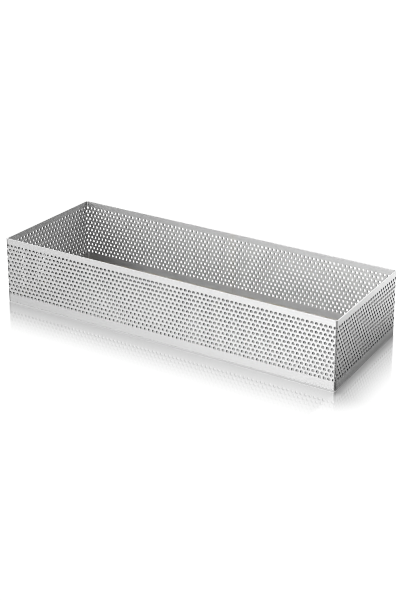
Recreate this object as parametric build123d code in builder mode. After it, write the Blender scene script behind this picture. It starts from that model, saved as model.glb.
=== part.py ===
"""Baguette tray: an open, free-standing tray of perforated stainless steel sheet.

Its pieces are one perforated strip folded into a rectangular wall, the weld that closes that
strip into a ring, a plain floor plate under it, and the weld that holds the two together.

Millimetres, +Z up. The origin is the middle of the underside. X runs along the long walls,
and the front wall is on the -Y side.
"""

import math
import os

from build123d import *

# ---- driving dimensions -------------------------------------------------------------------

hole_diameter = 3.0
hole_pitch = 5.0
row_pitch = 4.6
row_count = 13

pitches_long = 80.75  # hole pitches from corner to corner, along the folded strip
pitches_short = 27.25

sheet = 1.5  # thickness of the perforated strip
floor_thickness = 1.5
tray_height = 75.0
top_margin = 7.9  # rim to the middle of the first row
bend_radius = 3.0  # outside radius of the four upright folds
rim_round = 0.25  # deburred edge of the rim
floor_round = 1.2  # ground-over lower edge of the floor plate

seam_gap = 0.8  # butt joint of the strip, filled by the seam weld
seam_pitch = 148  # where the joint stands, in hole pitches from the front left fold
weld_leg = 1.2  # fillet weld inside, between the strip and the floor

# ---- sizes that follow --------------------------------------------------------------------

strip_height = tray_height - floor_thickness
middle_radius = bend_radius - sheet / 2
fold_length = math.pi / 2 * middle_radius  # mid-sheet length of one fold
long_side = pitches_long * hole_pitch
short_side = pitches_short * hole_pitch
tray_length = long_side - fold_length + 2 * bend_radius
tray_width = short_side - fold_length + 2 * bend_radius
first_row = tray_height - top_margin
fold_reach = 1.5 * bend_radius  # from a fold's axis to clear outside the sheet

inner_length = tray_length - 2 * sheet
inner_width = tray_width - 2 * sheet
inner_radius = bend_radius - sheet

# One side per wall, in the order in which the strip runs round the tray: the wall's middle,
# the direction that the strip runs in, the direction it faces, and its mid-sheet length.
sides = [
    ((0, -tray_width / 2), (1, 0), (0, -1), long_side),
    ((tray_length / 2, 0), (0, 1), (1, 0), short_side),
    ((0, tray_width / 2), (-1, 0), (0, 1), long_side),
    ((-tray_length / 2, 0), (0, -1), (-1, 0), short_side),
]

os.makedirs("parts", exist_ok=True)


def wall_plane(middle, along, outward):
    """The outer face of one wall: local x follows the strip, local y is up."""
    return Plane(
        origin=(middle[0], middle[1], 0),
        x_dir=(along[0], along[1], 0),
        z_dir=(outward[0], outward[1], 0),
    )


def fold_plane(middle, along, outward, length, height):
    """On the axis of the fold at the start of a side: local z points out across the fold."""
    to_axis = (length - fold_length) / 2
    axis_x = middle[0] - along[0] * to_axis - outward[0] * bend_radius
    axis_y = middle[1] - along[1] * to_axis - outward[1] * bend_radius
    return Plane(
        origin=(axis_x, axis_y, height),
        x_dir=(along[0] + outward[0], along[1] + outward[1], 0),
        z_dir=(outward[0] - along[0], outward[1] - along[1], 0),
    )


def holes_between(start, end):
    """Every hole whose place along the strip is between start and end, as (place, height).

    Places are counted from the front left fold. Odd rows stand half a pitch further on.
    """
    found = []
    for row in range(row_count):
        shift = hole_pitch / 2 if row % 2 == 0 else 0
        count = math.ceil((start - shift) / hole_pitch)
        while count * hole_pitch + shift < end:
            found.append((count * hole_pitch + shift, first_row - row * row_pitch))
            count += 1
    return found


# ---- the perforated strip, folded into four walls -------------------------------------------

with BuildPart() as wall_band:
    with BuildSketch(Plane.XY.offset(floor_thickness)):
        RectangleRounded(tray_length, tray_width, bend_radius)
        RectangleRounded(inner_length, inner_width, inner_radius, mode=Mode.SUBTRACT)
    extrude(amount=strip_height)
    fillet(wall_band.faces().sort_by(Axis.Z)[-1].edges(), radius=rim_round)

    side_start = 0
    for middle, along, outward, length in sides:
        # Holes of the flat wall, straight through the sheet.
        flat_start = side_start + fold_length / 2
        flat_end = side_start + length - fold_length / 2
        flat_holes = [
            (place - side_start - length / 2, height)
            for place, height in holes_between(flat_start, flat_end)
        ]
        with Locations(wall_plane(middle, along, outward)):
            with Locations(*flat_holes):
                Hole(radius=hole_diameter / 2, depth=2 * sheet)

        # Holes of the fold before it. Punched before bending, they fan out from the fold's axis.
        for place, height in holes_between(side_start - fold_length / 2, flat_start):
            across_fold = fold_plane(middle, along, outward, length, height)
            angle = math.degrees((place - side_start) / middle_radius)
            with Locations(across_fold.rotated((0, angle, 0))):
                Cone(
                    bottom_radius=0,
                    top_radius=hole_diameter / 2 * fold_reach / middle_radius,
                    height=fold_reach,
                    align=(Align.CENTER, Align.CENTER, Align.MIN),
                    mode=Mode.SUBTRACT,
                )
        side_start += length

    # The joint where the two ends of the strip meet, in the back wall.
    seam_x = long_side + short_side + long_side / 2 - seam_pitch * hole_pitch
    with Locations((seam_x, tray_width / 2, tray_height / 2)):
        Box(seam_gap, 4 * sheet, 2 * tray_height, mode=Mode.SUBTRACT)

wall_band.part.label = "wall_band"
export_step(wall_band.part, "parts/wall_band.step")

# ---- the weld that closes the strip, ground flush -------------------------------------------

with BuildPart() as seam_weld:
    with BuildSketch(Plane.XY.offset(floor_thickness)):
        with Locations((seam_x, (tray_width - sheet) / 2)):
            Rectangle(seam_gap, sheet)
    extrude(amount=strip_height - rim_round)

    # It stops at each hole that stands on the joint.
    joint_place = seam_pitch * hole_pitch
    joint_holes = holes_between(joint_place - seam_gap, joint_place + seam_gap)
    joint_plane = wall_plane((seam_x, tray_width / 2), (-1, 0), (0, 1))
    with Locations(joint_plane):
        with Locations(*[(place - joint_place, height) for place, height in joint_holes]):
            Hole(radius=hole_diameter / 2, depth=2 * sheet)

seam_weld.part.label = "seam_weld"
export_step(seam_weld.part, "parts/seam_weld.step")

# ---- the floor plate, under the strip and flush with its outside ----------------------------

with BuildPart() as floor_plate:
    with BuildSketch():
        RectangleRounded(tray_length, tray_width, bend_radius)
    extrude(amount=floor_thickness)
    fillet(floor_plate.faces().sort_by(Axis.Z)[0].edges(), radius=floor_round)

floor_plate.part.label = "floor_plate"
export_step(floor_plate.part, "parts/floor_plate.step")

# ---- the weld inside, all round the floor ---------------------------------------------------

with BuildPart() as floor_weld:
    with BuildLine(Plane.XY.offset(floor_thickness)) as weld_path:
        half_x = inner_length / 2 - inner_radius
        half_y = inner_width / 2 - inner_radius
        Line((half_x, -inner_width / 2), (-half_x, -inner_width / 2))
        Line((-inner_length / 2, -half_y), (-inner_length / 2, half_y))
        Line((-half_x, inner_width / 2), (half_x, inner_width / 2))
        Line((inner_length / 2, half_y), (inner_length / 2, -half_y))
        for side_x, side_y, start_angle in ((-1, -1, 180), (-1, 1, 90), (1, 1, 0), (1, -1, 270)):
            CenterArc((side_x * half_x, side_y * half_y), inner_radius, start_angle, 90)

    section_plane = Plane(
        origin=(0, -inner_width / 2, floor_thickness), x_dir=(0, 1, 0), z_dir=(1, 0, 0)
    )
    with BuildSketch(section_plane) as weld_section:
        with BuildLine():
            Line((0, weld_leg), (0, 0))
            Line((0, 0), (weld_leg, 0))
            RadiusArc((weld_leg, 0), (0, weld_leg), 2 * weld_leg)
        make_face()
    sweep(path=weld_path.wires()[0])

floor_weld.part.label = "floor_weld"
export_step(floor_weld.part, "parts/floor_weld.step")
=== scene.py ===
"""The looks of the baguette tray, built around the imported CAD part.

The perforated strip, the floor plate and the weld between them are modelled again here in finer
detail, in the space their CAD nodes hold. The closing weld of the strip keeps its CAD mesh.

Metres, +Z up, the same frame as the CAD. A point of the folded strip is given by its place along
the strip, its height, and how far it stands out from the middle of the sheet. Places are counted
from the front left fold along the front wall, then the right, back and left walls.
"""

import math

import bpy
import numpy as np
from mathutils import Matrix, Vector


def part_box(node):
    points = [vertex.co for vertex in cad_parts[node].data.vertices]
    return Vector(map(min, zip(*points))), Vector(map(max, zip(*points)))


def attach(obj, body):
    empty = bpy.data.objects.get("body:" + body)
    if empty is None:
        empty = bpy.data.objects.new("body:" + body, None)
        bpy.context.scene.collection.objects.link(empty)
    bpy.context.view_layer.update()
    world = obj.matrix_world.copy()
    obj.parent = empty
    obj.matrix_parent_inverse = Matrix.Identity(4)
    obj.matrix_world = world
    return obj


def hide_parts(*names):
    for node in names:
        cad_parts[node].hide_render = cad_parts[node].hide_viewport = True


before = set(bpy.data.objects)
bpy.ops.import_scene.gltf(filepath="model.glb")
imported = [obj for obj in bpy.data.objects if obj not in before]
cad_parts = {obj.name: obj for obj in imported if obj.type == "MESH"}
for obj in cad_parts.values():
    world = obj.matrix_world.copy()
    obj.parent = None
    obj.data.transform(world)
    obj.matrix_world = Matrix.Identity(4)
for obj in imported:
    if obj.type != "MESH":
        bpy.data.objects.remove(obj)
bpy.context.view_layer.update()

MM = 0.001

# ---- sizes read from the CAD nodes -----------------------------------------------------------

strip_low, strip_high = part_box("wall_band")
bead_low, bead_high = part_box("floor_weld")
joint_low, joint_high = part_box("seam_weld")

half_length = strip_high.x
half_width = strip_high.y
rim_height = strip_high.z
foot_height = strip_low.z
sheet = strip_high.x - bead_high.x
bead_leg = bead_high.z - bead_low.z
joint_x = (joint_low.x + joint_high.x) / 2
joint_half_gap = (joint_high.x - joint_low.x) / 2

# ---- sizes of the perforation and the folds, the same as in the CAD --------------------------

hole_radius = 1.5 * MM
hole_pitch = 5.0 * MM
row_pitch = 4.6 * MM
row_count = 13
top_margin = 7.9 * MM
bend_radius = 3.0 * MM
rim_round = 0.25 * MM
foot_bevel = 0.12 * MM
floor_round = 1.2 * MM
floor_bevel = 0.12 * MM

# ---- detail that only the visual model has ---------------------------------------------------

punch_round = 0.22 * MM  # the edge that the punch draws in, on the outer face
exit_round = 0.07 * MM  # the edge it leaves by
side_steps = 6  # mesh edges along each side of a hole's cell
ring_count = 4 * side_steps
corner_steps = 12  # mesh edges round each corner of the floor plate
rim_line = 2.5 * MM  # from the rim down to the nearest mesh line of its margin
rim_turn = 30  # degrees between the mesh lines that round the rim
foot_line = 3 * MM  # from the foot up to the nearest mesh line of its margin
floor_turn = 15  # degrees between the mesh lines that round the floor plate's lower edge
hair = MM / 1000000  # more than rounding, less than any detail
same_point = MM / 1000  # mesh points that agree to this are one

bead_step = 0.25 * MM
bead_points = 8  # across the hollow face of the weld bead
bead_size = 0.9  # the bead's mean leg, as a share of the CAD's
bead_waves = [(0.06, 23, 0), (0.05, 61, 1.3)]  # its changes: share of leg, waves per lap, phase
bead_hollow = 0.58
hollow_power = 0.8  # the lower, the nearer the hollow reaches to the bead's toes
toe_power = 1.2  # the higher, the thinner the toes
ripple_length = 1.4 * MM
ripple_lag = 0.45 * ripple_length  # how far the middle of a ripple trails its ends
ripple_height = 0.07  # as a share of the leg

# ---- lengths along the strip -----------------------------------------------------------------

middle_radius = bend_radius - sheet / 2
fold_length = math.pi / 2 * middle_radius
quarter_pitch = hole_pitch / 4


def whole_quarters(length):
    """Takes off rounding: the strip's sides and joint stand at whole quarter pitches."""
    return round(length / quarter_pitch) * quarter_pitch


long_side = whole_quarters(2 * (half_length - bend_radius) + fold_length)
short_side = whole_quarters(2 * (half_width - bend_radius) + fold_length)
strip_length = 2 * (long_side + short_side)
strip_start = whole_quarters(1.5 * long_side + short_side - joint_x)
strip_end = strip_start + strip_length
hole_columns = round(strip_length / hole_pitch)
first_row = rim_height - top_margin

# One side per wall, as the strip runs: the middle of its outer face, the direction the strip
# runs in, the direction the wall faces, and its length.
sides = [
    ((0, -half_width), (1, 0), (0, -1), long_side),
    ((half_length, 0), (0, 1), (1, 0), short_side),
    ((0, half_width), (-1, 0), (0, 1), long_side),
    ((-half_length, 0), (0, -1), (-1, 0), short_side),
]


# ---- from the flat strip to the folded one ---------------------------------------------------


def folded(place, height, out, normal=None):
    """Folds points of the flat strip round the tray. Returns positions and, if given, normals."""
    position = np.zeros((len(place), 3))
    along_strip = np.zeros((len(place), 3))
    outward = np.zeros((len(place), 3))
    position[:, 2] = height
    side_start = 0
    for middle, along, facing, length in sides:
        # Each side starts a hair before its fold, so that rounding leaves no point out.
        before = fold_length / 2 + hair
        past = (place - side_start + before) % strip_length - before
        on_side = past < length - before
        middle, along, facing = np.array(middle), np.array(along), np.array(facing)

        in_fold = on_side & (past < fold_length / 2)
        turn = (past[in_fold] / middle_radius + math.pi / 4)[:, None]
        direction = facing * np.sin(turn) - along * np.cos(turn)
        axis = middle - along * (length - fold_length) / 2 - facing * bend_radius
        position[in_fold, :2] = axis + direction * (middle_radius + out[in_fold])[:, None]
        outward[in_fold, :2] = direction
        along_strip[in_fold, :2] = along * np.sin(turn) + facing * np.cos(turn)

        in_flat = on_side & ~in_fold
        run = (past[in_flat] - length / 2)[:, None] * along
        position[in_flat, :2] = middle + run + (out[in_flat] - sheet / 2)[:, None] * facing
        outward[in_flat, :2] = facing
        along_strip[in_flat, :2] = along
        side_start += length
    if normal is None:
        return position, None
    turned = along_strip * normal[:, :1] + outward * normal[:, 2:]
    turned[:, 2] = normal[:, 1]
    return position, turned


def new_piece(name, position, faces, node, normal=None):
    """A smooth-shaded mesh piece that stands for a CAD node, if given with its own normals."""
    mesh = bpy.data.meshes.new(name)
    mesh.from_pydata(position.tolist(), [], faces)
    mesh.shade_smooth()
    if normal is not None:
        mesh.normals_split_custom_set_from_vertices(normal.tolist())
    piece = bpy.data.objects.new(name, mesh)
    bpy.context.scene.collection.objects.link(piece)
    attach(piece, "root")
    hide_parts(node)
    return piece


def add_strip_coordinates(piece, place, height, out):
    """Gives a piece a UV map of its place and height, in metres, and its depth in the sheet."""
    mesh = piece.data
    corner = np.zeros(len(mesh.loops), np.int32)
    mesh.loops.foreach_get("vertex_index", corner)
    uv = mesh.uv_layers.new(name="strip")
    uv.data.foreach_set("uv", np.stack([place, height], 1)[corner].astype(np.float32).ravel())
    depth = mesh.attributes.new("depth", "FLOAT", "POINT")
    depth.data.foreach_set("value", out.astype(np.float32))


# ---- the perforated strip --------------------------------------------------------------------
#
# A mesh point here is (place, height, out, normal along, normal up, normal out). The strip is
# made flat, as rectangular cells that hold one hole each, and folded afterwards.

FACE, CUT, EDGE = 0, 1, 2  # material slots of the strip


def cell_outline(numbers):
    """Points of a cell's edge, counted anticlockwise from the middle of its right side."""

    def zigzag(number):
        from_start = np.abs((number + ring_count / 2) % ring_count - ring_count / 2)
        return np.clip(2 - from_start / (side_steps / 2), -1, 1)

    across = zigzag(numbers) * hole_pitch / 2
    up = zigzag(numbers - side_steps) * row_pitch / 2
    return across, up


def cell_rings(numbers, angles):
    """Six rings of points: from the cell's outer face, through the hole, to its inner face."""
    rings = []
    edge_across, edge_up = cell_outline(numbers)
    # Radius of each ring at the hole, how far out it stands, and whether it faces out or in.
    hole_rings = [
        (hole_radius + punch_round, sheet / 2, 1),
        (hole_radius, sheet / 2 - punch_round, 0),
        (hole_radius, exit_round - sheet / 2, 0),
        (hole_radius + exit_round, -sheet / 2, -1),
    ]
    level = np.ones(len(numbers))
    rings.append([edge_across, edge_up, level * sheet / 2, 0 * level, 0 * level, level])
    for radius, out, faces_out in hole_rings:
        angle = angles(radius)
        inward = 0 if faces_out else -1
        rings.append(
            [
                radius * np.cos(angle),
                radius * np.sin(angle),
                level * out,
                inward * np.cos(angle),
                inward * np.sin(angle),
                level * faces_out,
            ]
        )
    rings.append([edge_across, edge_up, -level * sheet / 2, 0 * level, 0 * level, -level])
    return np.array(rings).transpose(0, 2, 1)


def quads_between(rings):
    """The quads that join each ring of points to the next, and their material slots."""
    quads = []
    slots = []
    for number in range(len(rings) - 1):
        this, following = rings[number], rings[number + 1]
        quads.append(np.stack([this[:-1], this[1:], following[1:], following[:-1]], 1))
        slots += [FACE if number in (0, len(rings) - 2) else CUT] * (len(this) - 1)
    return np.concatenate(quads), slots


def moved(quads, place, height):
    """Copies of some quads, one at each pair of place and height."""
    offset = np.zeros((len(place), 1, 1, 6))
    offset[:, 0, 0, 0] = place
    offset[:, 0, 0, 1] = height
    return (quads[None] + offset).reshape(-1, 4, 6)


def full_cell():
    numbers = np.arange(ring_count + 1)
    return quads_between(cell_rings(numbers, lambda radius: numbers * 2 * math.pi / ring_count))


def half_cell(centre_number):
    """Half of a cell whose hole the joint cuts, and the sheet's cut ends above and below it.

    The centre_number is the outline point in the middle of the half: 0 for the right half.
    """
    steps = np.arange(-side_steps, side_steps + 1)
    centre_angle = centre_number * 2 * math.pi / ring_count

    def angles(radius):
        reach = math.pi / 2 - math.asin(joint_half_gap / radius)
        return centre_angle + steps / side_steps * reach

    rings = cell_rings(steps + centre_number, angles)
    quads, slots = quads_between(rings)
    ends = []
    for column, turned_over in ((0, False), (-1, True)):
        section = rings[:, column]
        for a, b, c, d in ((0, 1, 4, 5), (1, 2, 3, 4)):
            corners = (d, c, b, a) if turned_over else (a, b, c, d)
            ends.append([section[number] for number in corners])
    return quads, slots, np.array(ends)


def rim_profile():
    """Up the outer face from the first row's cells, over the rounded rim, down the inner face."""
    side = [(first_row + row_pitch / 2, sheet / 2, 0, 1), (rim_height - rim_line, sheet / 2, 0, 1)]
    for degrees in range(0, 90 + rim_turn, rim_turn):
        angle = math.radians(degrees)
        height = rim_height - rim_round * (1 - math.sin(angle))
        out = sheet / 2 - rim_round * (1 - math.cos(angle))
        side.append((height, out, math.sin(angle), math.cos(angle)))
    return side + [(height, -out, up, -facing) for height, out, up, facing in reversed(side)]


def foot_profile():
    """Down the inner face from the last row's cells, under the foot, up the outer face."""
    last_row = first_row - (row_count - 1) * row_pitch
    side = [
        (last_row - row_pitch / 2, -sheet / 2, 0, -1),
        (foot_height + foot_line, -sheet / 2, 0, -1),
        (foot_height + foot_bevel, -sheet / 2, 0, -1),
        (foot_height, foot_bevel - sheet / 2, -1, 0),
    ]
    return side + [(height, -out, up, -facing) for height, out, up, facing in reversed(side)]


def margin_quads(profile):
    """A plain margin of the strip: its profile carried along the strip's whole length."""
    columns = np.arange(hole_columns * side_steps + 1) * hole_pitch / side_steps + strip_start
    rings = []
    for height, out, up, facing in profile:
        level = np.ones(len(columns))
        ring = [columns, height * level, out * level, 0 * level, up * level, facing * level]
        rings.append(np.array(ring).T)
    quads, _ = quads_between(rings)
    slots = []
    for this, following in zip(profile[:-1], profile[1:]):
        flat = this[3] == following[3] and this[3] != 0
        slots += [FACE if flat else EDGE] * (len(columns) - 1)

    ends = []
    count = len(profile)
    for place, turned_over in ((strip_start, False), (strip_end, True)):
        section = [(place, height, out, 0, up, facing) for height, out, up, facing in profile]
        for number in range(count // 2 - 1):
            corners = [number, number + 1, count - 2 - number, count - 1 - number]
            if turned_over:
                corners.reverse()
            ends.append([section[corner] for corner in corners])
    return quads, slots, np.array(ends)


def plain_end(place, height):
    """One row of the sheet's cut end at the joint, beside a cell that the joint doesn't cut."""
    quads = []
    steps = np.arange(side_steps + 1) / side_steps - 0.5
    rising = steps if place == strip_end else -steps
    for low, high in zip(rising[:-1], rising[1:]):
        corners = ((high, 1), (low, 1), (low, -1), (high, -1))
        quads.append(
            [(place, height + up * row_pitch, out * sheet / 2, 0, 0, out) for up, out in corners]
        )
    return quads


def perforated_rows():
    """Quads of all the rows of holes, their material slots, and the quads that close the joint."""
    quads, slots, ends = [], [], []
    cell, cell_slots = full_cell()
    right_half, right_slots, right_ends = half_cell(0)
    left_half, left_slots, left_ends = half_cell(ring_count // 2)
    for row in range(row_count):
        height = first_row - row * row_pitch
        between_joint = row % 2 == 0
        if between_joint:
            centres = strip_start + hole_pitch * (np.arange(hole_columns) + 0.5)
        else:
            centres = strip_start + hole_pitch * np.arange(1, hole_columns)
        quads.append(moved(cell, centres, np.full(len(centres), height)))
        slots += cell_slots * len(centres)
        if between_joint:
            ends += plain_end(strip_start, height)
            ends += plain_end(strip_end, height)
        else:
            for half, half_slots, half_ends, place in (
                (right_half, right_slots, right_ends, strip_start),
                (left_half, left_slots, left_ends, strip_end),
            ):
                quads.append(moved(half, [place], [height]))
                slots += half_slots
                ends += moved(half_ends, [place], [height]).tolist()
    return quads, slots, ends


def make_strip():
    quads, slots, ends = perforated_rows()
    for profile in (rim_profile(), foot_profile()):
        margin, margin_slots, margin_ends = margin_quads(profile)
        quads.append(margin)
        slots += margin_slots
        ends += margin_ends.tolist()
    quads.append(np.array(ends))
    slots += [CUT] * len(ends)

    points = np.concatenate(quads).reshape(-1, 6)
    first_place, last_place = strip_start + joint_half_gap, strip_end - joint_half_gap
    points[:, 0] = np.clip(points[:, 0], first_place, last_place)

    # Points that fall together are one mesh vertex. The key counts outwards, then up, then along
    # the strip. Its strides are more than the sheet's thickness and height in steps.
    place_step, height_step, out_step = np.round(points[:, :3].T / same_point).astype(np.int64)
    out_stride = 10000
    height_stride = 1000000
    key = (place_step * height_stride + height_step) * out_stride + out_step
    _, first, number = np.unique(key, return_index=True, return_inverse=True)
    place, height, out = points[first, :3].T
    position, normal = folded(place, height, out, points[first, 3:])
    faces = number.reshape(-1, 4).tolist()
    piece = new_piece(
        "perforated_strip", position, faces, "wall_band", normal
    )
    add_strip_coordinates(piece, place, height, out)
    piece.data.polygons.foreach_set("material_index", np.array(slots, np.int32))
    return piece


# ---- the floor plate -------------------------------------------------------------------------


def rounded_loop(inset, height, up):
    """The tray's outline, moved in by inset, with normals that lean up by the given angle."""
    places = []
    side_start = 0
    for _, _, _, length in sides:
        for step in range(corner_steps + 1):
            places.append(side_start + fold_length * (step / corner_steps - 0.5))
        side_start += length
    place = np.array(places)
    level = np.ones(len(place))
    normal = np.array([0 * level, level * math.sin(up), level * math.cos(up)]).T
    return folded(place, level * height, level * (sheet / 2 - inset), normal)


def make_floor():
    profile = [(floor_round, 0, math.radians(-90))]
    for degrees in range(floor_turn - 90, floor_turn, floor_turn):
        angle = math.radians(degrees)
        inset = floor_round * (1 - math.cos(angle))
        profile.append((inset, floor_round * (1 + math.sin(angle)), angle))
    profile.append((0, foot_height - floor_bevel, 0))
    profile.append((floor_bevel, foot_height, math.radians(90)))
    loops = [rounded_loop(*step) for step in profile]
    position = np.concatenate([loop[0] for loop in loops])
    normal = np.concatenate([loop[1] for loop in loops])
    count = len(loops[0][0])
    faces = []
    for number in range(len(loops) - 1):
        for corner in range(count):
            following = (corner + 1) % count
            low, high = number * count, (number + 1) * count
            faces.append([low + corner, low + following, high + following, high + corner])
    faces.append(list(range(count))[::-1])
    faces.append([(len(loops) - 1) * count + corner for corner in range(count)])
    return new_piece("floor_sheet", position, faces, "floor_plate", normal)


# ---- the rippled weld between floor and strip ------------------------------------------------


def make_bead():
    """A hollow fillet with the curved ripples that a torch leaves as it moves along."""
    step_count = round(strip_length / bead_step)
    place = np.arange(step_count) * bead_step
    size = bead_size
    for share_of_leg, waves, phase in bead_waves:
        size = size + share_of_leg * np.sin(place / strip_length * waves * 2 * math.pi + phase)
    leg = bead_leg * size
    columns = []
    for across_bead in np.linspace(0, 1, bead_points):
        lag = ripple_lag * (1 - (2 * across_bead - 1) ** 2)
        ripple = np.abs(np.sin(math.pi * (place + lag) / ripple_length))
        angle = across_bead * math.pi / 2
        middle = math.sin(2 * angle)  # 0 at the bead's two toes, 1 half way between them
        hollow = 1 - bead_hollow * middle**hollow_power
        bulge = ripple_height * bead_leg * ripple * middle
        reach_up = leg * math.cos(angle) ** toe_power * hollow + bulge
        reach_in = leg * math.sin(angle) ** toe_power * hollow + bulge
        columns.append((foot_height + reach_up, -sheet / 2 - reach_in))
    level = np.ones(step_count)
    columns.append((foot_height * level, -sheet / 2 * level))
    points = np.array([(place, height * level, out * level) for height, out in columns])
    column_count = len(columns)
    position, _ = folded(*points.transpose(1, 0, 2).reshape(3, -1))
    faces = []
    for column in range(column_count):
        following_column = (column + 1) % column_count
        for step in range(step_count):
            following = (step + 1) % step_count
            faces.append(
                [
                    column * step_count + step,
                    following_column * step_count + step,
                    following_column * step_count + following,
                    column * step_count + following,
                ]
            )
    return new_piece("floor_bead", position, faces, "floor_weld")


# ---- shader building -------------------------------------------------------------------------


class Shader:
    """Builds a node tree. A value passed to a node is a number, a colour, or another's output."""

    def __init__(self, tree):
        self.tree = tree
        tree.nodes.clear()

    def node(self, kind, *values, output=0, **settings):
        made = self.tree.nodes.new(kind)
        for name, setting in settings.items():
            setattr(made, name, setting)
        for number, value in enumerate(values):
            self.feed(made, number, value)
        return made.outputs[output]

    def feed(self, made, socket, value):
        if isinstance(value, bpy.types.NodeSocket):
            self.tree.links.new(value, made.inputs[socket])
        elif value is not None:
            made.inputs[socket].default_value = value

    def source(self, kind, output):
        """The named output of a node that only reads from the scene."""
        return self.tree.nodes.new(kind).outputs[output]

    def position(self):
        return self.source("ShaderNodeTexCoord", "Object")

    def normal(self):
        return self.source("ShaderNodeNewGeometry", "Normal")

    def strip_map(self):
        """A point's place and height on the flat strip, in metres."""
        made = self.tree.nodes.new("ShaderNodeUVMap")
        made.uv_map = "strip"
        return made.outputs["UV"]

    def math(self, operation, *values):
        return self.node("ShaderNodeMath", *values, operation=operation)

    def vector_math(self, operation, *values):
        output = "Value" if operation in ("LENGTH", "DOT_PRODUCT") else "Vector"
        return self.node("ShaderNodeVectorMath", *values, output=output, operation=operation)

    def parts(self, vector):
        made = self.tree.nodes.new("ShaderNodeSeparateXYZ")
        self.feed(made, 0, vector)
        return made.outputs

    def ramp(self, value, low, high, to_low=0.0, to_high=1.0):
        return self.node(
            "ShaderNodeMapRange",
            value,
            low,
            high,
            to_low,
            to_high,
            interpolation_type="SMOOTHSTEP",
        )

    def noise(self, vector, scale, detail=2.0, roughness=0.5):
        """Noise of the given scale per metre along each axis, from 0 to 1."""
        scaled = self.vector_math("MULTIPLY", vector, scale)
        made = self.tree.nodes.new("ShaderNodeTexNoise")
        self.feed(made, "Vector", scaled)
        self.feed(made, "Scale", 1.0)
        self.feed(made, "Detail", detail)
        self.feed(made, "Roughness", roughness)
        return made.outputs["Fac"]

    def mix(self, share, a, b):
        """The number a where share is 0, b where it is 1."""
        kept = self.math("MULTIPLY", a, self.math("SUBTRACT", 1.0, share))
        return self.math("ADD", kept, self.math("MULTIPLY", b, share))

    def varied(self, middle, noise, reach):
        """The number middle, moved up and down by noise by half of reach at most."""
        change = self.math("MULTIPLY", self.math("SUBTRACT", noise, 0.5), reach)
        return self.math("ADD", middle, change)

    def grey(self, value):
        return self.node("ShaderNodeCombineXYZ", value, value, value)

    def across(self, along):
        """The surface direction square to along: brushed metal spreads light that way."""
        crossed = self.vector_math("CROSS_PRODUCT", self.normal(), along)
        return self.vector_math("NORMALIZE", crossed)

    def upright(self):
        """The surface direction nearest to up."""
        return self.across(self.across((0, 0, 1)))


def new_material(name):
    material = bpy.data.materials.new(name)
    material.use_nodes = True
    return material, Shader(material.node_tree)


# ---- steel -----------------------------------------------------------------------------------

# Brightness and roughness of each surface, before its grain varies them.
sheet_brightness = 0.70
sheet_roughness = 0.50
floor_brightness = 0.62
floor_roughness = 0.36
edge_brightness = 0.78  # the rim and the foot
edge_roughness = 0.32
bead_brightness = 0.58
bead_roughness = 0.36
joint_brightness = 0.64
joint_roughness = 0.42
# The holes' walls carry painted light where they face up and painted shade where they face down or
# sideways.
painted_lit_cut_brightness = 0.98  # walls of the holes where they face up: painted light, as if lit from above
painted_shade_cut_brightness = 0.06
painted_lit_drawn_brightness = 0.8  # the edges that the punch drew in, where they face up: painted light
painted_shade_drawn_brightness = 0.35


def metal(shader, colour, roughness, anisotropy, spread, height, bump_depth):
    """A metal surface with a grain, as the tree's output. It blurs lights along spread."""
    tree = shader.tree
    surface = tree.nodes.new("ShaderNodeBsdfPrincipled")
    shader.feed(surface, "Base Color", colour)
    shader.feed(surface, "Metallic", 1.0)
    shader.feed(surface, "Roughness", roughness)
    shader.feed(surface, "Anisotropic", anisotropy)
    shader.feed(surface, "Tangent", spread)
    bump = tree.nodes.new("ShaderNodeBump")
    shader.feed(bump, "Strength", 1.0)
    shader.feed(bump, "Distance", bump_depth)
    shader.feed(bump, "Height", height)
    shader.feed(surface, "Normal", bump.outputs["Normal"])
    output = tree.nodes.new("ShaderNodeOutputMaterial")
    tree.links.new(surface.outputs["BSDF"], output.inputs["Surface"])


def steel_colour(shader, brightness, warmth=0.0):
    """Stainless grey of the given brightness, with a share of straw tint."""
    redder = shader.math("MULTIPLY_ADD", warmth, 0.10, 1.0)
    less_blue = shader.math("MULTIPLY_ADD", warmth, -0.22, 1.0)
    red = shader.math("MULTIPLY", brightness, redder)
    blue = shader.math("MULTIPLY", brightness, less_blue)
    return shader.node("ShaderNodeCombineColor", red, brightness, blue)


def brushed_strip():
    """Satin sheet with its grain along the strip, ground across it beside the joint."""
    material, shader = new_material("brushed_strip")
    flat = shader.strip_map()
    place = shader.parts(flat)[0]
    from_joint = shader.math(
        "MINIMUM",
        shader.math("ABSOLUTE", shader.math("SUBTRACT", place, strip_start)),
        shader.math("ABSOLUTE", shader.math("SUBTRACT", place, strip_end)),
    )
    ground = shader.ramp(from_joint, 4 * MM, 6.5 * MM, 1.0, 0.0)

    fine = shader.noise(flat, (22, 4200, 1), detail=3)
    streak = shader.noise(flat, (6, 650, 1), detail=4, roughness=0.6)
    fine_ground = shader.noise(flat, (160, 3800, 1), detail=2)
    grain = shader.mix(ground, shader.mix(0.5, fine, streak), fine_ground)
    cloud = shader.noise(flat, (9, 14, 1), detail=3, roughness=0.6)

    brightness = shader.varied(sheet_brightness, streak, reach=0.10)
    brightness = shader.varied(brightness, cloud, reach=0.04)
    roughness = shader.varied(sheet_roughness, cloud, reach=0.12)
    roughness = shader.varied(roughness, streak, reach=0.10)
    heat = shader.ramp(from_joint, 1 * MM, 7 * MM, 0.12, 0.0)
    metal(
        shader,
        steel_colour(shader, brightness, heat),
        roughness,
        anisotropy=0.85,
        spread=shader.upright(),
        height=grain,
        bump_depth=0.010 * MM,
    )
    return material


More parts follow.
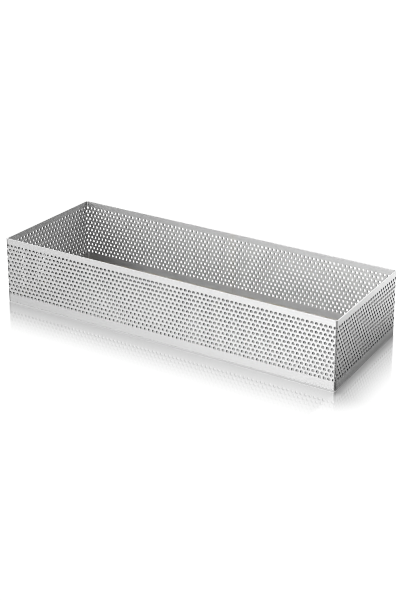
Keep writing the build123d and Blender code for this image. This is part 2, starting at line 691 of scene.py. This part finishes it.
def cut_edge():
    """Sheared steel: bright where the punch entered, torn and dull below. Painted light where it
    faces up.
    """
    material, shader = new_material("cut_edge")
    attribute = shader.tree.nodes.new("ShaderNodeAttribute")
    attribute.attribute_name = "depth"
    depth = attribute.outputs["Fac"]
    torn = shader.ramp(depth, -0.1 * MM, 0.1 * MM, 1.0, 0.0)
    drawn_in = shader.ramp(depth, sheet / 2 - punch_round, sheet / 2)
    # Painted light and shade: a hole's lower wall, which faces up, is drawn much brighter than the
    # rest.
    painted_light_share = shader.ramp(shader.parts(shader.normal())[2], 0.45, 0.75)
    rough_grain = shader.noise(shader.position(), (5000, 5000, 900), detail=2)
    brightness = shader.mix(painted_light_share, painted_shade_cut_brightness, painted_lit_cut_brightness)
    brightness = shader.mix(torn, brightness, shader.math("MULTIPLY", brightness, 0.9))
    drawn = shader.mix(painted_light_share, painted_shade_drawn_brightness, painted_lit_drawn_brightness)
    brightness = shader.mix(drawn_in, brightness, drawn)
    metal(
        shader,
        steel_colour(shader, brightness),
        roughness=shader.mix(torn, 0.40, 0.52),
        anisotropy=0.0,
        spread=None,
        height=shader.math("MULTIPLY", rough_grain, torn),
        bump_depth=0.02 * MM,
    )
    return material


def ground_edge():
    """The rim and the foot of the strip, deburred and polished by a belt that runs along them."""
    material, shader = new_material("ground_edge")
    flat = shader.strip_map()
    grain = shader.noise(flat, (60, 9000, 1), detail=2)
    wear = shader.noise(flat, (45, 200, 1), detail=3)
    metal(
        shader,
        steel_colour(shader, shader.varied(edge_brightness, wear, reach=0.12)),
        roughness=shader.varied(edge_roughness, wear, reach=0.15),
        anisotropy=0.0,
        spread=None,
        height=grain,
        bump_depth=0.008 * MM,
    )
    return material


def brushed_floor():
    """Satin sheet with its grain along X, scratched a little, tinted by heat beside the weld."""
    material, shader = new_material("brushed_floor")
    position = shader.position()
    x, y, _ = shader.parts(position)
    fine = shader.noise(position, (22, 4200, 4200), detail=3)
    streak = shader.noise(position, (5, 520, 520), detail=4, roughness=0.6)
    cloud = shader.noise(position, (9, 14, 14), detail=3, roughness=0.6)
    edge = shader.math(
        "MINIMUM",
        shader.math("SUBTRACT", half_length, shader.math("ABSOLUTE", x)),
        shader.math("SUBTRACT", half_width, shader.math("ABSOLUTE", y)),
    )
    waver = shader.math("MULTIPLY", shader.noise(position, (90, 90, 90), detail=2), 5 * MM)
    heat = shader.ramp(shader.math("SUBTRACT", edge, waver), 1 * MM, 6 * MM, 0.3, 0.0)
    inside_wall = shader.ramp(edge, 0.8 * sheet, sheet)
    heat = shader.math("MULTIPLY", heat, inside_wall)
    brightness = shader.varied(floor_brightness, streak, reach=0.10)
    brightness = shader.varied(brightness, cloud, reach=0.05)
    metal(
        shader,
        steel_colour(shader, brightness, heat),
        roughness=shader.varied(floor_roughness, cloud, reach=0.14),
        anisotropy=0.6,
        spread=shader.across((1, 0, 0)),
        height=shader.mix(0.5, fine, streak),
        bump_depth=0.010 * MM,
    )
    return material


def weld_bead():
    """Cleaned weld: a little rougher than the sheet, straw-coloured in patches."""
    material, shader = new_material("weld_bead")
    position = shader.position()
    speckle = shader.noise(position, (2500, 2500, 2500), detail=2)
    patch = shader.noise(position, (60, 60, 60), detail=2)
    heat = shader.ramp(patch, 0.35, 0.75, 0.2, 1.0)
    metal(
        shader,
        steel_colour(shader, shader.varied(bead_brightness, speckle, reach=0.12), heat),
        roughness=shader.varied(bead_roughness, patch, reach=0.2),
        anisotropy=0.0,
        spread=None,
        height=speckle,
        bump_depth=0.01 * MM,
    )
    return material


def ground_weld():
    """The closing weld of the strip: ground flush, with the grain running up."""
    material, shader = new_material("ground_weld")
    position = shader.position()
    grain = shader.noise(position, (3500, 3500, 60), detail=2)
    patch = shader.noise(position, (200, 200, 200), detail=2)
    metal(
        shader,
        steel_colour(shader, shader.varied(joint_brightness, patch, reach=0.1), 0.15),
        roughness=shader.varied(joint_roughness, patch, reach=0.12),
        anisotropy=0.8,
        spread=shader.upright(),
        height=grain,
        bump_depth=0.012 * MM,
    )
    return material


# ---- light -----------------------------------------------------------------------------------

# Soft lights round the tray: azimuth anticlockwise from +X, elevation, the angles from its
# middle at which a light starts to fade and ends, and its brightness. Degrees.
sky_lights = [
    (-99, 13, 20, 33, 3.4),
    (-60, 62, 16, 36, 0.4),
    (65, 55, 8, 28, 1.2),
    (122, 24, 16, 34, 1.1),
    (57, 26, 8, 28, 0.65),
]
sky_dimmest = 0.15

# The light that the table sends back towards the tray, by direction, in the same way.
table_lights = [
    (-108, 0, 18, 58, 0.9),
    (-5, 0, 15, 40, 0.7),
    (60, 0, 20, 60, 1.4),
]
table_dimmest = 0.30
background_white = 1.06  # the table and the sky behind it, as the camera sees them
mirror_grey = 0.54  # what the table's polish sends back
mirror_roughness = 0.10
table_gap = 0.02 * MM  # keeps the table clear of the tray's underside
table_reach = 6.0


def brightness_towards(shader, direction, lights, dimmest):
    """The studio's brightness towards a unit direction."""
    total = dimmest
    for azimuth, elevation, inner, outer, brightness in lights:
        turn, tilt = math.radians(azimuth), math.radians(elevation)
        towards = (
            math.cos(turn) * math.cos(tilt),
            math.sin(turn) * math.cos(tilt),
            math.sin(tilt),
        )
        facing = shader.vector_math("DOT_PRODUCT", direction, towards)
        edge = math.cos(math.radians(outer)), math.cos(math.radians(inner))
        total = shader.math("ADD", total, shader.ramp(facing, *edge, 0.0, brightness))
    return total


def make_world():
    world = bpy.data.worlds.new("studio")
    world.use_nodes = True
    bpy.context.scene.world = world
    shader = Shader(world.node_tree)
    direction = shader.source("ShaderNodeTexCoord", "Generated")
    seen = shader.source("ShaderNodeLightPath", "Is Camera Ray")
    sky = brightness_towards(shader, direction, sky_lights, sky_dimmest)
    light = shader.mix(seen, sky, background_white)
    background = shader.node("ShaderNodeBackground", shader.grey(light), 1.0)
    output = shader.tree.nodes.new("ShaderNodeOutputWorld")
    shader.tree.links.new(background, output.inputs["Surface"])


def outside_tray(shader, position):
    """How far a point of the table is from the tray's outline."""
    core = (half_length - bend_radius, half_width - bend_radius, 0)
    beyond = shader.vector_math("SUBTRACT", shader.vector_math("ABSOLUTE", position), core)
    beyond = shader.vector_math("MAXIMUM", beyond, (0, 0, 0))
    return shader.math("SUBTRACT", shader.vector_math("LENGTH", beyond), bend_radius)


def table_light(shader, position, travel, distance, right_side):
    """The light that a point of the table sends to the tray. The tray shades it near its walls."""
    behind_tray = shader.math("SUBTRACT", shader.parts(position)[1], half_width)
    behind = shader.ramp(behind_tray, 0.0, 2 * MM)
    in_front = shader.ramp(distance, 0.0, 50 * MM, 0.65, 1.0)
    at_right = shader.ramp(distance, 0.0, 140 * MM)
    unshaded = shader.mix(right_side, shader.mix(behind, in_front, 0.15), at_right)
    towards_tray = brightness_towards(shader, travel, table_lights, table_dimmest)
    light = shader.math("MULTIPLY", towards_tray, unshaded)

    # The tray's lower edge picks up a line of light from right beside it.
    beside_edge = shader.ramp(distance, 1 * MM, 3 * MM, 1.0, 0.0)
    edge_light = shader.math("MULTIPLY", beside_edge, shader.mix(right_side, 1.1, 0.15))
    return shader.math("MAXIMUM", light, edge_light)


def sees_tray(shader, position, incoming, level_travel, travel):
    """1 where the mirrored view from a point of the table meets the tray, 0 where it misses it.

    The view travels on level in the direction travel. It enters and leaves the tray's plan after
    the distances enter and leave, and mustn't have risen above the rim by then.
    """
    to_low = shader.vector_math("SUBTRACT", (-half_length, -half_width, 0), position)
    to_low = shader.vector_math("DIVIDE", to_low, travel)
    to_high = shader.vector_math("SUBTRACT", (half_length, half_width, 0), position)
    to_high = shader.vector_math("DIVIDE", to_high, travel)
    enter_x, enter_y, _ = shader.parts(shader.vector_math("MINIMUM", to_low, to_high))
    leave_x, leave_y, _ = shader.parts(shader.vector_math("MAXIMUM", to_low, to_high))
    enter = shader.math("MAXIMUM", shader.math("MAXIMUM", enter_x, enter_y), 0.0)
    leave = shader.math("MINIMUM", leave_x, leave_y)
    over_plan = shader.ramp(shader.math("SUBTRACT", leave, enter), 0.0, 2 * MM)

    level_length = shader.vector_math("LENGTH", level_travel)
    steepness = shader.math("DIVIDE", shader.parts(incoming)[2], level_length)
    height = shader.math("MULTIPLY", enter, steepness)
    under_rim = shader.ramp(height, 0.95 * rim_height, rim_height, 1.0, 0.0)
    return shader.math("MULTIPLY", over_plan, under_rim)


def mirror_share(shader, distance, right_side):
    """How strongly the table mirrors the tray: less and less further from it."""
    in_front = shader.ramp(distance, -20 * MM, 68 * MM, 0.8, 0.0)
    at_right = shader.math(
        "ADD",
        shader.ramp(distance, 0.0, 48 * MM, 0.55, 0.0),
        shader.ramp(distance, 0.0, 12 * MM, 0.3, 0.0),
    )
    return shader.mix(right_side, in_front, at_right)


def white_table():
    """Glossy white: plain white with a faint mirror to the camera, a soft light to the tray."""
    material, shader = new_material("white_table")
    position = shader.position()
    distance = outside_tray(shader, position)
    # On the tray's right, which the main light doesn't reach, the table is darker.
    right_of_tray = shader.math("SUBTRACT", shader.parts(position)[0], half_length)
    right_side = shader.ramp(right_of_tray, -4 * MM, 2 * MM)
    incoming = shader.source("ShaderNodeNewGeometry", "Incoming")
    level_travel = shader.vector_math("MULTIPLY", incoming, (-1, -1, 0))
    travel = shader.vector_math("NORMALIZE", level_travel)

    light = table_light(shader, position, travel, distance, right_side)
    lighting = shader.node("ShaderNodeEmission", shader.grey(light), 1.0)

    meets_tray = sees_tray(shader, position, incoming, level_travel, travel)
    share = shader.math("MULTIPLY", meets_tray, mirror_share(shader, distance, right_side))
    white = shader.node("ShaderNodeEmission", (1, 1, 1, 1), background_white)
    mirror_colour = (mirror_grey, mirror_grey, mirror_grey, 1)
    mirror = shader.node("ShaderNodeBsdfGlossy", mirror_colour, mirror_roughness)
    seen_table = shader.node("ShaderNodeMixShader", share, white, mirror)

    seen = shader.source("ShaderNodeLightPath", "Is Camera Ray")
    surface = shader.node("ShaderNodeMixShader", seen, lighting, seen_table)
    output = shader.tree.nodes.new("ShaderNodeOutputMaterial")
    shader.tree.links.new(surface, output.inputs["Surface"])
    return material


def make_table():
    corners = [
        (x * table_reach, y * table_reach, 0) for x, y in ((-1, -1), (1, -1), (1, 1), (-1, 1))
    ]
    mesh = bpy.data.meshes.new("table")
    mesh.from_pydata(corners, [], [(0, 1, 2, 3)])
    mesh.materials.append(white_table())
    table = bpy.data.objects.new("table", mesh)
    table.location.z = -table_gap
    bpy.context.scene.collection.objects.link(table)


# ---- camera ----------------------------------------------------------------------------------

camera_azimuth = math.radians(24.884)
camera_elevation = math.radians(15.662)
camera_roll = math.radians(2.249)
camera_distance = 1.1197
camera_aim = Vector((0.1912, 0, 0.2666))
sensor_size = 36.0  # millimetres, along the picture's longer side
focal_length = 69.78
lens_shift_x = -0.2745  # as a share of the picture's longer side
lens_shift_y = -0.3191
home_reach = 20 * MM  # the lens is shifted only this near to the camera's first place


def hold_shift(camera, home, path, amount):
    """Shifts the lens only while the camera stands at home, so that other views stay centred.

    The driver's curve gives the shift for each distance between the camera and its home.
    """
    curve = camera.data.driver_add(path)
    curve.driver.type = "AVERAGE"
    away = curve.driver.variables.new()
    away.name = "away"
    away.type = "LOC_DIFF"
    away.targets[0].id = camera
    away.targets[1].id = home
    for modifier in list(curve.modifiers):
        curve.modifiers.remove(modifier)
    curve.keyframe_points.insert(0, amount)
    curve.keyframe_points.insert(home_reach, 0)
    curve.extrapolation = "CONSTANT"


def make_camera():
    """The camera, and an empty that marks its home when other views move the camera."""
    data = bpy.data.cameras.new("camera")
    data.sensor_fit = "AUTO"
    data.sensor_width = sensor_size
    data.lens = focal_length
    data.clip_start = 0.01
    data.clip_end = 50
    camera = bpy.data.objects.new("camera", data)
    home = bpy.data.objects.new("camera_home", None)
    level = math.cos(camera_elevation)
    back = Vector(
        (
            math.sin(camera_azimuth) * level,
            -math.cos(camera_azimuth) * level,
            math.sin(camera_elevation),
        )
    )
    right = Vector((math.cos(camera_azimuth), math.sin(camera_azimuth), 0))
    turn = Matrix((right, back.cross(right), back)).transposed()
    roll = Matrix.Rotation(camera_roll, 3, "Z")
    place = Matrix.Translation(camera_aim + back * camera_distance)
    for standing in (camera, home):
        bpy.context.scene.collection.objects.link(standing)
        standing.matrix_world = place @ (turn @ roll).to_4x4()
    hold_shift(camera, home, "shift_x", lens_shift_x)
    hold_shift(camera, home, "shift_y", lens_shift_y)
    bpy.context.scene.camera = camera


# ---- the scene -------------------------------------------------------------------------------

strip = make_strip()
strip.data.materials.append(brushed_strip())
strip.data.materials.append(cut_edge())
strip.data.materials.append(ground_edge())
floor = make_floor()
floor.data.materials.append(brushed_floor())
bead = make_bead()
bead.data.materials.append(weld_bead())
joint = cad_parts["seam_weld"]
joint.data.materials.clear()
joint.data.materials.append(ground_weld())

make_world()
make_table()
make_camera()
bpy.context.scene.view_settings.view_transform = "Standard"
bpy.context.scene.cycles.filter_width = 0.9  # pixels: sharper than Blender's own 1.5
